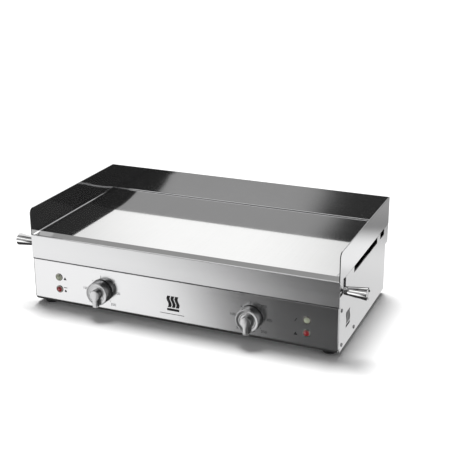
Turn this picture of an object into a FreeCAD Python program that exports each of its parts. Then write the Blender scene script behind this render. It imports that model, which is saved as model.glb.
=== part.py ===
"""Counter-top electric flat top griddle, as a parametric FreeCAD document.

Frame: millimetres, +X to the operator's right, +Y to the rear, +Z up.
The origin lies on the table, at the centre of the whole griddle's plan.
"""
import FreeCAD, Part
import os
import re
import Sketcher
from FreeCAD import Rotation, Vector

doc = FreeCAD.newDocument("flat_top_griddle")
sheet = doc.addObject("Spreadsheet::Sheet", "sizes")

# alias, value, meaning; lengths are millimetres
SIZES = (
    ("body_width", 700, "across the side panels"),
    ("front_face", -165, "y of the front panel's outer face"),
    ("guard_back", 205, "y of the splash guard's outer back"),
    ("lower_back", 185, "y where the lower housing ends"),
    ("ear_back", 203, "y where the side panels' rear ears end"),
    ("ear_base", 118, "z where the rear ears start"),
    ("body_base", 10, "z of the housing's underside"),
    ("seam_height", 108, "z of the joint between control panel and trough"),
    ("plate_top", 163, "z of the cooking surface"),
    ("guard_top", 223, "z of the splash guard's rim"),
    ("side_top", 160.6, "z of the side panels' top edge"),
    ("side_sheet", 2, "thickness of side panels and guard"),
    ("thin_sheet", 1.5, "thickness of the other sheet parts"),
    ("sheet_gap", 0.2, "assembly gap between sheet parts"),
    ("bend_radius", 10, "outer bend at the foot of the front panel"),
    ("end_bend", 4, "outer bend at the ends of the front panel"),
    ("return_depth", 9, "flange that the front panel folds back at each end"),
    ("flange_depth", 15, "small folded flanges"),
    ("plate_thick", 8, "griddle plate"),
    ("plate_half", 340, "half the griddle plate's width"),
    ("plate_front", -143.6, "y of the plate's front lip"),
    ("plate_rear", 201, "y of the plate's rear edge"),
    ("lip_base", 134, "z of the lip's lower edge"),
    ("lip_thick", 3, "front lip"),
    ("bevel_size", 7.6, "sloped front edge of the plate, over which fat runs off"),
    ("wing_half", 345.5, "half the width of the plate's sloped front edge"),
    ("rebate_wide", 6, "step in the plate's edge for the guard's ledge"),
    ("guard_corner", 12, "rounded front top corners of the guard"),
    ("guard_bend", 3, "inside bend at the foot of the guard"),
    ("notch_back", -125, "y where the side panels' front notch ends"),
    ("notch_base", 131, "z of the notch's lower edge"),
    ("slot_front", -67, "y of the long side slot's front end"),
    ("slot_back", 110, "y of the long side slot's rear end"),
    ("recess_front", 135, "y of the rear side recess's front end"),
    ("recess_back", 168, "y of the rear side recess's rear end"),
    ("slot_base", 146.5, "z of the side slots' lower edge"),
    ("trough_back", -107, "y of the trough's rear wall"),
    ("trough_low", 130, "z of the trough's low rear part"),
    ("trough_sheet", 1.2, "trough pan"),
    ("trough_half", 347.5, "half the trough pan's width"),
    ("end_wall_back", -132, "y where the trough's tall end walls stop"),
    ("handle_line", -140, "y of the handles' axis"),
    ("handle_height", 137.5, "z of the handles' axis"),
    ("handle_root", 8.5, "radius of a handle at its root"),
    ("handle_tip", 13, "radius of a handle at its tip"),
    ("handle_reach", 50, "from the side panel to a handle's end"),
    ("stud_radius", 4, "stud between trough and handle"),
    ("screw_radius", 3, "screw that holds a handle"),
    ("knob_place", 173, "half the distance between the knobs' axes"),
    ("knob_shift", 6.5, "how far both knobs sit to the left of the middle"),
    ("knob_height", 58, "z of a knob's axis"),
    ("knob_reach", 31, "from the front panel to a knob's front"),
    ("knob_raise", 9, "pointer, in front of the knob's face"),
    ("shaft_behind", 18, "knob shaft, behind the front panel's face"),
    ("knob_base", 25.8, "radius of a knob's skirt at the panel"),
    ("knob_face", 25.2, "radius of a knob's face"),
    ("hub_radius", 11.5, "raised hub of a knob's pointer"),
    ("tail_length", 28, "pointer, from the axis"),
    ("tail_half", 5.5, "half the pointer's width"),
    ("ring_radius", 26, "dial ring behind a knob"),
    ("shaft_radius", 3, "thermostat shaft"),
    ("running_gap", 0.05, "radial clearance of the shafts"),
    ("bush_radius", 5.9, "threaded bush of a thermostat"),
    ("lamp_place", 285, "x of the lamps"),
    ("lamp_high", 73, "z of the upper lamps"),
    ("lamp_low", 45, "z of the lower lamps"),
    ("bezel_radius", 8.5, "lamp bezel"),
    ("lens_radius", 6.3, "lamp lens"),
    ("foot_place", 325, "x of the feet"),
    ("foot_front", -137, "y of the front feet"),
    ("foot_back", 157, "y of the rear feet"),
    ("foot_radius", 16, "rubber foot"),
    ("element_pitch", 60, "between two legs of a heating element"),
    ("element_radius", 4.25, "heating element tube"),
    ("element_rear", 150, "y of the element's rear ends"),
    ("element_run", 225, "length of an element's straight legs"),
    ("element_height", 150.5, "z of the elements' centre line"),
    ("sensor_rise", -101, "y where the sensor's capillary climbs"),
    ("sensor_height", 151.5, "z of the sensor bulb"),
    ("sensor_bend", 12, "bend radius of the capillary"),
    ("sensor_exit", -130, "y of the thermostat's back"),
    ("sensor_start", 66, "z where the capillary leaves the thermostat"),
    ("shield_height", 125, "z of the heat shield"),
    ("gland_place", 240, "x of the cable gland"),
    ("gland_height", 40, "z of the cable gland"),
    ("gland_bore", 5, "radius of the cable gland's bore"),
    ("earth_place", 300, "x of the earth stud"),
    ("side_screw", 2, "shank radius of the side screws"),
)
for row, (alias, size, meaning) in enumerate(SIZES, start=1):
    sheet.set("A%d" % row, meaning)
    sheet.set("B%d" % row, str(size))
    sheet.setAlias("B%d" % row, alias)
doc.recompute()

nodes = []
SIDES = (("left", -1), ("right", 1))


def link(text):
    """Point each alias of an expression at the spreadsheet."""
    return re.sub(r"[a-z_]{3,}", lambda found: "sizes." + found.group(), str(text))


def value(text):
    """Present value of an expression, in millimetres."""
    return float(sheet.evalExpression(link(text)))


def on_side(sign, low, high):
    """Span between two distances from the middle, on one side, lower end first."""
    if sign > 0:
        return (low, high)
    return ("-(%s)" % high, "-(%s)" % low)


def name_node(item, label):
    item.Label = label
    nodes.append(item)
    return item


def set_base(item, place):
    for axis, text in zip("xyz", place):
        item.setExpression(".Placement.Base." + axis, link(text))


def block(name, along_x, along_y, along_z):
    """Box between three pairs of expressions."""
    box = doc.addObject("Part::Box", name)
    for size, span in zip(("Length", "Width", "Height"), (along_x, along_y, along_z)):
        box.setExpression(size, link("(%s) - (%s)" % (span[1], span[0])))
    set_base(box, (along_x[0], along_y[0], along_z[0]))
    return box


TURNS = {
    "+z": Rotation(),
    "+x": Rotation(Vector(0, 1, 0), 90),
    "-x": Rotation(Vector(0, 1, 0), -90),
    "+y": Rotation(Vector(1, 0, 0), -90),
    "-y": Rotation(Vector(1, 0, 0), 90),
}


def turn(item, direction):
    item.Placement = FreeCAD.Placement(Vector(), TURNS[direction])


def rod(name, radius, length, place, direction="+z"):
    """Cylinder that starts at place and runs in one direction."""
    cylinder = doc.addObject("Part::Cylinder", name)
    turn(cylinder, direction)
    cylinder.setExpression("Radius", link(radius))
    cylinder.setExpression("Height", link(length))
    set_base(cylinder, place)
    return cylinder


def hexagon(name, radius, length, place, direction="+z"):
    """Six-sided prism, for nuts."""
    prism = doc.addObject("Part::Prism", name)
    turn(prism, direction)
    prism.Polygon = 6
    prism.setExpression("Circumradius", link(radius))
    prism.setExpression("Height", link(length))
    set_base(prism, place)
    return prism


def sketch_on(body, role, name):
    """Empty sketch on one of a body's own origin planes."""
    sketch = body.newObject("Sketcher::SketchObject", name)
    plane = [item for item in body.Origin.OriginFeatures if item.Role == role][0]
    sketch.AttachmentSupport = [(plane, "")]
    sketch.MapMode = "FlatFace"
    return sketch


def outline(sketch, points):
    """Closed polygon whose corners are bound to expressions."""
    corners = [(value(across), value(up)) for across, up in points]
    count = len(corners)
    for index in range(count):
        start, end = corners[index], corners[(index + 1) % count]
        sketch.addGeometry(Part.LineSegment(Vector(*start, 0), Vector(*end, 0)))
    for index in range(count):
        sketch.addConstraint(Sketcher.Constraint("Coincident", index, 2, (index + 1) % count, 1))
    for index, (across, up) in enumerate(points):
        for kind, text, size in zip(("DistanceX", "DistanceY"), (across, up), corners[index]):
            rule = sketch.addConstraint(Sketcher.Constraint(kind, -1, 1, index, 1, size))
            sketch.setExpression("Constraints[%d]" % rule, link(text))


def prism(name, role, points, length, place=("0", "0", "0")):
    """Body that pads one polygon: YZ_Plane pads to +X, XY_Plane to +Z, XZ_Plane to -Y."""
    body = doc.addObject("PartDesign::Body", name)
    sketch = sketch_on(body, role, name + "_outline")
    outline(sketch, points)
    pad = body.newObject("PartDesign::Pad", name + "_pad")
    pad.Profile = sketch
    pad.setExpression("Length", link(length))
    body.Tip = pad
    set_base(body, place)
    return body


def soften(body, radius, chosen):
    """Round the edges of a body that chosen(edge) accepts, in body coordinates."""
    doc.recompute()
    base = body.Tip
    names = []
    for index, edge in enumerate(base.Shape.Edges, start=1):
        middle = edge.valueAt((edge.FirstParameter + edge.LastParameter) / 2)
        if chosen(edge, middle):
            names.append("Edge%d" % index)
    assert names, "no edge to soften on " + body.Name
    feature = body.newObject("PartDesign::Fillet", body.Name + "_soft%d" % len(body.Group))
    feature.Base = (base, names)
    feature.setExpression("Radius", link(radius))
    body.Tip = feature
    return body


def along(edge, axis):
    """True where a straight edge runs along a main axis: 0, 1 or 2 for X, Y, Z."""
    ends = edge.Vertexes
    if len(ends) != 2:
        return False
    span = ends[1].Point - ends[0].Point
    return abs(abs(span[axis]) - span.Length) < 1e-4


def corner(axis, *places):
    """Edges along one axis that pass through one of the (across, up) places."""
    others = [index for index in range(3) if index != axis]

    def chosen(edge, middle):
        if not along(edge, axis):
            return False
        return any(abs(middle[others[0]] - value(across)) < 0.01
                   and abs(middle[others[1]] - value(up)) < 0.01 for across, up in places)
    return chosen


def turned(name, profile, place, direction="+z"):
    """Body of revolution: profile holds (radius, height along the axis) corners."""
    body = doc.addObject("PartDesign::Body", name)
    sketch = sketch_on(body, "XZ_Plane", name + "_profile")
    outline(sketch, profile)
    revolution = body.newObject("PartDesign::Revolution", name + "_turn")
    revolution.Profile = sketch
    revolution.ReferenceAxis = (sketch, ["V_Axis"])
    revolution.Angle = 360
    body.Tip = revolution
    turn(body, direction)
    set_base(body, place)
    return body


def join(name, *parts):
    fusion = doc.addObject("Part::MultiFuse", name)
    fusion.Shapes = list(parts)
    fusion.Refine = True
    return fusion


def cut(name, base, *tools):
    tool = tools[0] if len(tools) == 1 else join(name + "_tools", *tools)
    result = doc.addObject("Part::Cut", name)
    result.Base = base
    result.Tool = tool
    return result


# ---- housing ----------------------------------------------------------------

def panel_side(top, low, front):
    """Side view of the control panel's room: a bend at the foot, open at the rear."""
    return ((front, low), (front, top), ("front_face + 35", top), ("front_face + 35", low))


def front_panel():
    """Control panel folded back at top, foot and both ends, with holes for its controls."""
    top = "seam_height - 0.1"
    skin = prism("panel_skin", "YZ_Plane", panel_side(top, "body_base", "front_face"),
                 "body_width", ("-body_width/2", "0", "0"))
    soften(skin, "bend_radius", corner(0, ("front_face", "body_base")))

    def end_edges(edge, middle):
        return min(middle.x, value("body_width") - middle.x) < 0.01 and (
            middle.y < value("front_face") + 5)

    soften(skin, "end_bend", end_edges)
    room = prism("panel_room", "YZ_Plane",
                 panel_side(top + " - thin_sheet", "body_base + thin_sheet", "front_face + thin_sheet"),
                 "body_width - 2*thin_sheet", ("-body_width/2 + thin_sheet", "0", "0"))
    soften(room, "bend_radius - thin_sheet", corner(0, ("front_face + thin_sheet", "body_base + thin_sheet")))
    tools = [room, block("panel_open", ("-body_width", "body_width"), ("front_face + 20", "front_face + 40"),
                         ("body_base + thin_sheet", "seam_height + 5"))]
    for side, sign in SIDES:
        tools.append(block("panel_end_" + side, on_side(sign, "body_width/2 - 2.2", "body_width/2 + 5"),
                           ("front_face + return_depth", "front_face + 60"), ("0", "seam_height + 5")))
        across = "(%d*knob_place - knob_shift)" % sign
        tools.append(rod("bush_hole_" + side, "bush_radius + 0.3", "10",
                         (across, "front_face - 2", "knob_height"), "+y"))
        tools.append(rod("panel_foot_hole_" + side, "2.4", "20", ("%d*foot_place" % sign, "foot_front", "5")))
        for level in ("lamp_high", "lamp_low"):
            tools.append(rod("%s_hole_%s" % (level, side), "bezel_radius - 0.8", "10",
                             ("%d*lamp_place" % sign, "front_face - 2", level), "+y"))
    name_node(cut("front_panel_cut", skin, *tools), "front_panel")


SCREW_PLACES = (("front_face + 18", "97"), ("front_face + 23", "21"), ("front_face + 110", "22"))


def side_panel(side, sign):
    """Flat side with a front notch, two cut-outs in its top edge and a rear ear."""
    start = "-body_width/2" if sign < 0 else "body_width/2 - side_sheet"
    step = "front_face + thin_sheet + 0.5"
    start_y = "front_face + return_depth + sheet_gap"
    points = (
        (start_y, "body_base"), (start_y, "seam_height"),
        (step, "seam_height"), (step, "notch_base"), ("notch_back", "notch_base"),
        ("notch_back", "side_top"), ("slot_front", "side_top"), ("slot_front", "slot_base"),
        ("slot_back", "slot_base"), ("slot_back", "side_top"), ("recess_front", "side_top"),
        ("recess_front", "slot_base"), ("recess_back", "slot_base"), ("recess_back", "side_top"),
        ("ear_back", "side_top"), ("ear_back", "ear_base"), ("lower_back", "ear_base"),
        ("lower_back", "body_base"))
    panel = prism("side_blank_" + side, "YZ_Plane", points, "side_sheet", (start, "0", "0"))
    soften(panel, "4", corner(0, ("ear_back", "ear_base"), ("lower_back", "body_base"),
                              ("notch_back", "notch_base")))
    soften(panel, "2", corner(0, ("slot_front", "slot_base"), ("slot_back", "slot_base"),
                              ("recess_front", "slot_base"), ("recess_back", "slot_base")))
    inner = "body_width/2 - side_sheet"
    flange = block("side_flange_" + side,
                   on_side(sign, inner + " - flange_depth", inner + " + side_sheet/2"),
                   ("front_face + 36", "lower_back - 5"), ("body_base", "body_base + side_sheet"))
    whole = join("side_whole_" + side, panel, flange)
    outer = "%d*(body_width/2 + 5)" % sign
    inward = "-x" if sign > 0 else "+x"
    holes = [rod("side_hole_%s_%d" % (side, index), "side_screw + 0.2", "12",
                 (outer, back, up), inward)
             for index, (back, up) in enumerate(SCREW_PLACES)]
    name_node(cut("side_cut_" + side, whole, *holes), "side_panel_" + side)


def side_screws(side, sign):
    """Three button-head screws through one side panel."""
    outward = "+x" if sign > 0 else "-x"
    screws = []
    for index, (back, up) in enumerate(SCREW_PLACES):
        head = turned("side_screw_head_%s_%d" % (side, index),
                      (("0", "0"), ("4", "0"), ("4", "0.6"), ("3", "1.7"), ("1.3", "2"),
                       ("1.3", "0.9"), ("0", "0.9")),
                      ("%d*body_width/2" % sign, back, up), outward)
        shank = rod("side_screw_shank_%s_%d" % (side, index), "side_screw", "10",
                    ("%d*(body_width/2 - 9.9)" % sign, back, up), outward)
        screws.append(join("side_screw_%s_%d" % (side, index), head, shank))
    name_node(join("side_screw_set_" + side, *screws), "side_screws_" + side)


INNER_WIDTH = ("-body_width/2 + side_sheet + sheet_gap", "body_width/2 - side_sheet - sheet_gap")


def back_panel():
    """Lower rear wall with two rows of vents, a gland hole and an earth stud hole."""
    wall = block("back_blank", INNER_WIDTH, ("lower_back - 1.6", "lower_back - 0.1"),
                 ("body_base", "ear_base - 0.2"))
    lip = block("back_foot", ("-body_width/2 + flange_depth + 3", "body_width/2 - flange_depth - 3"),
                ("lower_back - 16", "lower_back - 1"), ("body_base", "body_base + thin_sheet"))
    whole = join("back_whole", wall, lip)
    gaps = []
    for side, sign in SIDES:
        for index in range(9):
            middle = "%d*(150 + %d*14)" % (sign, index - 4)
            gaps.append(block("vent_%s_%d" % (side, index), (middle + " - 3", middle + " + 3"),
                              ("lower_back - 5", "lower_back + 5"), ("70", "108")))
    gaps.append(rod("gland_hole", "8.2", "10", ("gland_place", "lower_back - 6", "gland_height"), "+y"))
    gaps.append(rod("earth_hole", "3.2", "10", ("earth_place", "lower_back - 6", "gland_height"), "+y"))
    name_node(cut("back_cut", whole, *gaps), "back_panel")


def rear_channel():
    """Folded channel that closes the raised rear ears."""
    points = (("lower_back - 1.6", "ear_base"), ("ear_back", "ear_base"), ("ear_back", "side_top - 0.2"),
              ("ear_back - thin_sheet", "side_top - 0.2"), ("ear_back - thin_sheet", "ear_base + thin_sheet"),
              ("lower_back - 1.6", "ear_base + thin_sheet"))
    channel = prism("rear_channel_body", "YZ_Plane", points, "body_width - 2*side_sheet - 2*sheet_gap",
                    (INNER_WIDTH[0], "0", "0"))
    soften(channel, "2", corner(0, ("ear_back", "ear_base")))
    name_node(channel, "rear_channel")


def base_pan():
    """Floor of the housing, with folded edges, cooling slots and screw holes for the feet."""
    floor = "body_base + side_sheet + 0.1"
    sheet_top = floor + " + thin_sheet"
    span = ("front_face + 11", "lower_back - 2")
    plate = block("base_floor", INNER_WIDTH, span, (floor, sheet_top))
    rear = block("base_rear", INNER_WIDTH, ("lower_back - 3.5", span[1]), (floor, "26"))
    walls = [block("base_edge_" + side, on_side(sign, "body_width/2 - 3.8", "body_width/2 - 2.2"),
                   span, (floor, "17")) for side, sign in SIDES]
    whole = join("base_whole", plate, rear, *walls)
    gaps = []
    for side, sign in SIDES:
        for index in range(8):
            across = on_side(sign, "90", "190")
            middle = "-70 + %d*22" % index
            gaps.append(block("base_slot_%s_%d" % (side, index), across,
                              (middle + " - 3", middle + " + 3"), ("5", "20")))
        for spot in ("foot_front", "foot_back"):
            gaps.append(rod("%s_hole_%s" % (spot, side), "2.4", "20",
                            ("%d*foot_place" % sign, spot, "5")))
    name_node(cut("base_cut", whole, *gaps), "base_pan")


def foot(label, across, back):
    """Rubber foot and the countersunk screw that holds it."""
    profile = (("2.4", "5.5"), ("2.4", "body_base"), ("foot_radius", "body_base"),
               ("foot_radius", "3"), ("foot_radius - 2.5", "0"), ("8", "0"), ("7", "5.5"))
    name_node(turned("rubber_" + label, profile, (across, back, "0")), "foot_" + label)
    screw = (("0", "2"), ("4.5", "2"), ("4.5", "5.4"), ("2.2", "5.4"), ("2.2", "24"), ("0", "24"))
    name_node(turned("screw_" + label, screw, (across, back, "0")), "foot_screw_" + label)


# ---- cooking top ------------------------------------------------------------

def griddle_plate():
    """Thick plate with a wide sloped front edge, a lip below it, and a step on three sides."""
    points = (("plate_front", "lip_base"), ("plate_front", "plate_top - bevel_size"),
              ("plate_front + bevel_size", "plate_top"), ("plate_rear", "plate_top"),
              ("plate_rear", "plate_top - plate_thick"),
              ("plate_front + lip_thick", "plate_top - plate_thick"),
              ("plate_front + lip_thick", "lip_base"))
    plate = prism("plate_blank", "YZ_Plane", points, "2*plate_half", ("-plate_half", "0", "0"))
    step = ("plate_top - side_sheet", "plate_top + 5")
    edge = (points[1], points[2], ("plate_front + bevel_size", "plate_top - plate_thick"),
            ("plate_front", "plate_top - plate_thick"))
    wing = prism("plate_wing", "YZ_Plane", edge, "2*wing_half", ("-wing_half", "0", "0"))
    steps = [block("step_" + side, on_side(sign, "plate_half - rebate_wide", "plate_half + 5"),
                   ("plate_front - 5", "plate_rear + 5"), step) for side, sign in SIDES]
    steps.append(block("step_rear", ("-plate_half - 5", "plate_half + 5"),
                       ("plate_rear - rebate_wide", "plate_rear + 5"), step))
    name_node(join("plate_whole", cut("plate_cut", plate, *steps), wing), "griddle_plate")


def splash_guard():
    """Three-sided guard bent from one sheet, with a ledge that laps the plate's edge."""
    base = "plate_top - side_sheet"
    outer = prism("guard_blank", "YZ_Plane",
                  (("front_face", base), ("front_face", "guard_top"), ("guard_back", "guard_top"),
                   ("guard_back", base)), "body_width", ("-body_width/2", "0", "0"))
    soften(outer, "guard_corner", corner(0, ("front_face", "guard_top")))
    inner = prism("guard_room", "XY_Plane",
                  (("-body_width/2 + side_sheet", "front_face - 20"),
                   ("body_width/2 - side_sheet", "front_face - 20"),
                   ("body_width/2 - side_sheet", "guard_back - side_sheet"),
                   ("-body_width/2 + side_sheet", "guard_back - side_sheet")),
                  "100", ("0", "0", "plate_top"))

    def lower_edges(edge, middle):
        return abs(middle.z) < 0.01 and middle.y > value("front_face") - 15

    soften(inner, "guard_bend", lower_edges)
    ledge = "plate_half - rebate_wide + sheet_gap"
    window = block("guard_window", ("-(%s)" % ledge, ledge),
                   ("front_face - 20", "plate_rear - rebate_wide + sheet_gap"), ("150", "plate_top + 10"))
    edge = "plate_front + bevel_size"
    front = block("guard_front", ("-body_width", "body_width"), ("front_face - 20", edge),
                  ("150", "plate_top + 0.4"))
    gutter = block("guard_gutter", ("-body_width/2 + side_sheet", "body_width/2 - side_sheet"),
                   ("front_face - 20", edge), ("150", "plate_top + 10"))
    name_node(cut("guard_cut", outer, inner, window, front, gutter), "splash_guard")


def plate_bearers():
    """Angle bars across the housing that carry the plate."""
    under = "plate_top - plate_thick"
    front = "plate_front + bevel_size"
    for label, start, end in (("front", front + " + 5", front + " + 25"),
                              ("rear", "lower_back + 3", "lower_back + 15")):
        inside, below = start + " + side_sheet", under + " - side_sheet"
        points = ((start, under + " - 18"), (start, under), (end, under), (end, below),
                  (inside, below), (inside, under + " - 18"))
        bar = prism("bearer_" + label, "YZ_Plane", points, "body_width - 2*side_sheet - 2*sheet_gap",
                    (INNER_WIDTH[0], "0", "0"))
        name_node(bar, "plate_bearer_" + label)


def pipe(name, radius, start, legs, role, place):
    """Tube bent in one plane; legs are (end point, bend centre or None), all expressions.

    role is the plane of the route: XY_Plane starts along -Y, YZ_Plane starts along +Y.
    The first leg is straight, and so is the leg after each bend.
    """
    body = doc.addObject("PartDesign::Body", name)
    ring = sketch_on(body, "XZ_Plane", name + "_ring")
    spot = [value(text) for text in start]
    middle = (spot[0], 0) if role == "XY_Plane" else (0, spot[1])
    circle = Part.Circle(Vector(*middle, 0), Vector(0, 0, 1), value(radius))
    ring.addGeometry(circle)
    rule = ring.addConstraint(Sketcher.Constraint("Radius", 0, value(radius)))
    ring.setExpression("Constraints[%d]" % rule, link(radius))
    route = sketch_on(body, role, name + "_route")
    here = Vector(*spot, 0)
    heading = Vector()
    for goal, centre in legs:
        there = Vector(value(goal[0]), value(goal[1]), 0)
        if centre is None:
            route.addGeometry(Part.LineSegment(here, there))
            heading = (there - here).normalize()
        else:
            hub = Vector(value(centre[0]), value(centre[1]), 0)
            reach = here - hub
            # an eighth of a turn further on, so on the arc of a quarter or a half turn
            further = (reach + heading * reach.Length).normalize() * reach.Length
            route.addGeometry(Part.Arc(here, hub + further, there))
        here = there
    for index in range(len(legs) - 1):
        route.addConstraint(Sketcher.Constraint("Block", index))
    sweep = body.newObject("PartDesign::AdditivePipe", name + "_sweep")
    sweep.Profile = ring
    sweep.Spine = route
    body.Tip = sweep
    set_base(body, place)
    return body


def heating_element(side, sign):
    """Four straight legs joined by three half-circle bends."""
    far, near = "1.5*element_pitch", "0.5*element_pitch"
    low = "-element_run"
    legs = (
        (("-" + far, low), None), (("-" + near, low), ("-element_pitch", low)),
        (("-" + near, "0"), None), ((near, "0"), ("0", "0")),
        ((near, low), None), ((far, low), ("element_pitch", low)),
        ((far, "0"), None))
    tube = pipe("element_tube_" + side, "element_radius", ("-" + far, "0"), legs, "XY_Plane",
                ("(%d*knob_place - knob_shift)" % sign, "element_rear", "element_height"))
    name_node(tube, "heating_element_" + side)


def element_clamp(side, sign):
    """Bar that presses an element against the plate, with its two studs."""
    across = "(%d*knob_place - knob_shift)" % sign
    top = "element_height - element_radius - 0.1"
    bar = block("clamp_bar_" + side, (across + " - 110", across + " + 110"), ("20", "40"),
                (top + " - side_sheet", top))
    studs = [rod("clamp_stud_%s_%d" % (side, index), "3", "plate_top - plate_thick - (%s) + 1" % top,
                 ("%s + %d*element_pitch" % (across, place), "30", top + " - 1"))
             for index, place in enumerate((-1, 1))]
    name_node(join("clamp_whole_" + side, bar, *studs), "element_clamp_" + side)


def heat_shield():
    """Sheet between the heating elements and the controls, with turned-up edges."""
    span = ("front_face + 70", "lower_back - 7")
    wide = ("-body_width/2 + 5", "body_width/2 - 5")
    floor = block("shield_floor", wide, span, ("shield_height", "shield_height + 1"))
    edges = [block("shield_edge_" + side, on_side(sign, "body_width/2 - 6", "body_width/2 - 5"), span,
                   ("shield_height", "shield_height + 12")) for side, sign in SIDES]
    name_node(join("shield_whole", floor, *edges), "heat_shield")


# ---- controls ---------------------------------------------------------------

def thermostat(side, sign):
    """Thermostat body behind the panel, with a threaded bush bored for its shaft."""
    across = "(%d*knob_place - knob_shift)" % sign
    case = block("thermostat_case_" + side, (across + " - 22", across + " + 22"),
                 ("front_face + thin_sheet + 0.1", "sensor_exit"), ("knob_height - 18", "knob_height + 18"))
    bush = rod("thermostat_bush_" + side, "bush_radius", "10",
               (across, "front_face - 5", "knob_height"), "+y")
    whole = join("thermostat_whole_" + side, case, bush)
    bore = rod("thermostat_bore_" + side, "shaft_radius + running_gap", "33",
               (across, "front_face - 8", "knob_height"), "+y")
    name_node(cut("thermostat_cut_" + side, whole, bore), "thermostat_" + side)


def sensor(side, sign):
    """Capillary that climbs from the thermostat to a bulb under the plate."""
    rise, exit_height = "sensor_rise - sensor_exit", "sensor_start"
    legs = (
        ((rise + " - sensor_bend", exit_height), None),
        ((rise, exit_height + " + sensor_bend"),
         (rise + " - sensor_bend", exit_height + " + sensor_bend")),
        ((rise, "sensor_height - sensor_bend"), None),
        ((rise + " + sensor_bend", "sensor_height"),
         (rise + " + sensor_bend", "sensor_height - sensor_bend")),
        ((rise + " + 45", "sensor_height"), None))
    across = "(%d*knob_place - knob_shift)" % sign
    line = pipe("capillary_" + side, "1", ("0", exit_height), legs, "YZ_Plane",
                (across, "sensor_exit", "0"))
    bulb = rod("bulb_" + side, "3", "120", (across, "sensor_rise + 40", "sensor_height"), "+y")
    name_node(join("sensor_whole_" + side, line, bulb), "temperature_sensor_" + side)


def dial_ring(side, sign):
    """Flat ring on the panel behind a knob."""
    profile = (("9", "0"), ("ring_radius", "0"), ("ring_radius", "1"), ("ring_radius - 0.8", "1.8"),
               ("9", "1.8"))
    place = ("(%d*knob_place - knob_shift)" % sign, "front_face", "knob_height")
    name_node(turned("ring_" + side, profile, place, "-y"), "dial_ring_" + side)


def knob(side, sign):
    """Hollow knob on its shaft: a skirt, a cap, and a pointer that hangs down."""
    across = "(%d*knob_place - knob_shift)" % sign
    place = (across, "front_face", "knob_height")
    face = "knob_reach - knob_raise"
    bore = "shaft_radius + 0.02"
    seat = face + " - 3"
    profile = (
        (bore, "9"), (bore, face + " - 5"), ("0", face + " - 5"), ("0", seat), ("knob_face", seat),
        ("knob_base", "3"), ("knob_base - 2.2", "3"), ("knob_face - 2.4", face + " - 5"),
        ("7", face + " - 5"), ("7", "9"))
    name_node(turned("knob_cup_" + side, profile, place, "-y"), "knob_" + side)
    rim = (
        ("0", seat), ("0", face + " - 1"), ("knob_face - 3", face + " - 1"), ("knob_face - 2.2", face),
        ("knob_face - 1", face), ("knob_face", face + " - 1"), ("knob_face", seat))
    name_node(turned("cap_disc_" + side, rim, place, "-y"), "knob_cap_" + side)

    hub = turned("pointer_hub_" + side,
                 (("0", face + " - 0.9"), ("hub_radius", face + " - 0.9"), ("hub_radius", "knob_reach - 1"),
                  ("hub_radius - 1", "knob_reach"), ("0", "knob_reach")), place, "-y")
    tail = prism("pointer_tail_" + side, "XZ_Plane",
                 (("-tail_half", "-2"), ("tail_half", "-2"), ("tail_half", "-tail_length"),
                  ("-tail_half", "-tail_length")),
                 "knob_raise - 0.4", (across, "front_face - (%s) - 0.3" % face, "knob_height"))
    soften(tail, "1.5", corner(1, ("tail_half", "-tail_length"), ("-tail_half", "-tail_length")))
    name_node(join("pointer_whole_" + side, hub, tail), "knob_pointer_" + side)

    tip = "(%s - 6)" % face
    shaft = rod("shaft_rod_" + side, "shaft_radius", tip + " + shaft_behind",
                (across, "front_face - " + tip, "knob_height"), "+y")
    name_node(shaft, "knob_shaft_" + side)


def lamp(side, sign, level):
    """Pilot lamp: a bezel with a tubular body, and a domed lens."""
    label = "%s_%s" % (side, level)
    place = ("%d*lamp_place" % sign, "front_face", "lamp_" + {"upper": "high", "lower": "low"}[level])
    bezel = (("lens_radius + 0.1", "-12"), ("lens_radius + 0.1", "1.6"), ("bezel_radius - 1", "1.6"),
             ("bezel_radius", "0.9"), ("bezel_radius", "0"), ("bezel_radius - 1", "0"),
             ("bezel_radius - 1", "-26"), ("0", "-26"), ("0", "-12"))
    name_node(turned("bezel_" + label, bezel, place, "-y"), "lamp_bezel_" + label)
    lens = (("0", "-10"), ("lens_radius", "-10"), ("lens_radius", "1.8"), ("lens_radius - 1", "3.4"),
            ("lens_radius - 2.8", "4.4"), ("0", "4.9"))
    name_node(turned("lens_" + label, lens, place, "-y"), "lamp_lens_" + label)


def rear_fittings():
    """Terminal block, cable gland with locknut, and the earth stud."""
    case = block("terminal_case", ("gland_place - 50", "gland_place + 20"),
                 ("lower_back - 60", "lower_back - 30"), ("body_base + 3.6", "body_base + 26"))
    screws = [rod("terminal_hole_%d" % index, "2.5", "10",
                  ("gland_place - 41 + %d*13" % index, "lower_back - 45", "body_base + 20"))
              for index in range(5)]
    name_node(cut("terminal_cut", case, *screws), "terminal_block")

    centre = ("gland_place", "lower_back", "gland_height")
    body = hexagon("gland_hexagon", "12", "6", centre, "+y")
    dome = turned("gland_dome", (("0", "6"), ("11", "6"), ("11", "12"), ("8", "18"), ("0", "18")),
                  centre, "+y")
    thread = rod("gland_thread", "8", "16", ("gland_place", "lower_back - 15", "gland_height"), "+y")
    bore = rod("gland_passage", "gland_bore", "60", ("gland_place", "lower_back - 30", "gland_height"), "+y")
    name_node(cut("gland_cut", join("gland_whole", body, dome, thread), bore), "cable_gland")

    nut = hexagon("locknut_hexagon", "12", "5", ("gland_place", "lower_back - 6.8", "gland_height"), "+y")
    hole = rod("locknut_hole", "8.05", "12", ("gland_place", "lower_back - 10", "gland_height"), "+y")
    name_node(cut("locknut_cut", nut, hole), "gland_locknut")

    stud = rod("earth_rod", "3", "30", ("earth_place", "lower_back - 12", "gland_height"), "+y")
    nuts = [hexagon("earth_nut_%d" % index, "5.5", "4",
                    ("earth_place", "lower_back + %s" % start, "gland_height"), "+y")
            for index, start in enumerate(("0", "5", "(-5.8)"))]
    name_node(join("earth_whole", stud, *nuts), "earth_stud")


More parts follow.
